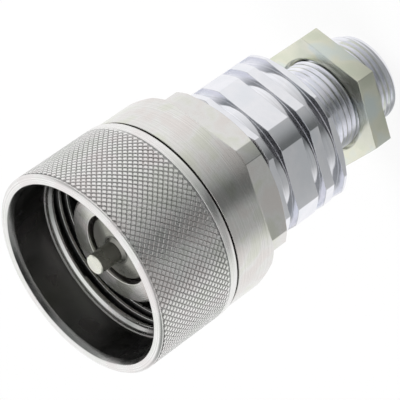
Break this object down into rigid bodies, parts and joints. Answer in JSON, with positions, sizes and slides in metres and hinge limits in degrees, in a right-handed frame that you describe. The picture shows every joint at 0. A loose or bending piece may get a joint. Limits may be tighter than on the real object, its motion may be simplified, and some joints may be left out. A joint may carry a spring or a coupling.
{
  "type": "screw-to-connect quick coupling half",
  "caption": "Round screw-on coupling half: knurled threaded sleeve over a poppet-valve nose, hexagon body, grooved hexagon adapter, threaded stud and lock nut.",
  "frame": {"origin": "centre of the tail end face of the stud, on the surface that the part stands on", "axes": "+Z along the coupling's axis from the tail end to the mouth; the adapter's hexagon has a corner on +X"},
  "size_m": [0.067, 0.067, 0.1235],
  "materials": {
    "zinc_sleeve": "zinc plated and knurled, satin",
    "zinc_body": "zinc plated with a faint yellow and green passivation",
    "zinc_valve": "turned, zinc plated",
    "bright_zinc_adapter": "bright blue-white zinc plate",
    "zinc_nut": "zinc plated with a yellow-green passivation",
    "spring_steel": "oiled spring steel",
    "seal_rubber": "nitrile rubber",
    "backup_plastic": "plain fluoroplastic"
  },
  "bodies": {
    "plug": {"plug_body": "zinc_body", "sleeve_retaining_ring": "spring_steel", "nose_seal_ring": "seal_rubber", "nose_backup_ring": "backup_plastic", "valve_guide": "zinc_valve", "guide_snap_ring": "spring_steel", "port_seal_ring": "seal_rubber", "port_backup_ring": "backup_plastic", "bulkhead_adapter": "bright_zinc_adapter"},
    "sleeve": {"knurled_sleeve": "zinc_sleeve"},
    "valve": {"valve_pin": "zinc_valve", "valve_seal": "seal_rubber", "poppet_head": "zinc_valve", "valve_spring": "spring_steel"},
    "nut": {"lock_nut": "zinc_nut"}
  },
  "joints": [
    {"name": "sleeve_turn", "type": "hinge", "parent": "plug", "child": "sleeve", "pos_m": [0, 0, 0.09], "axis": [0, 0, 1], "continuous": true},
    {"name": "valve_push", "type": "slide", "parent": "plug", "child": "valve", "axis": [0, 0, -1], "range_m": [0, 0.007], "stiffness_N_per_m": 3000, "springref_m": -0.006, "deforming": ["valve_spring"]},
    {"name": "nut_travel", "type": "slide", "parent": "plug", "child": "nut", "axis": [0, 0, 1], "range_m": [-0.0124, 0.0135]}
  ]
}
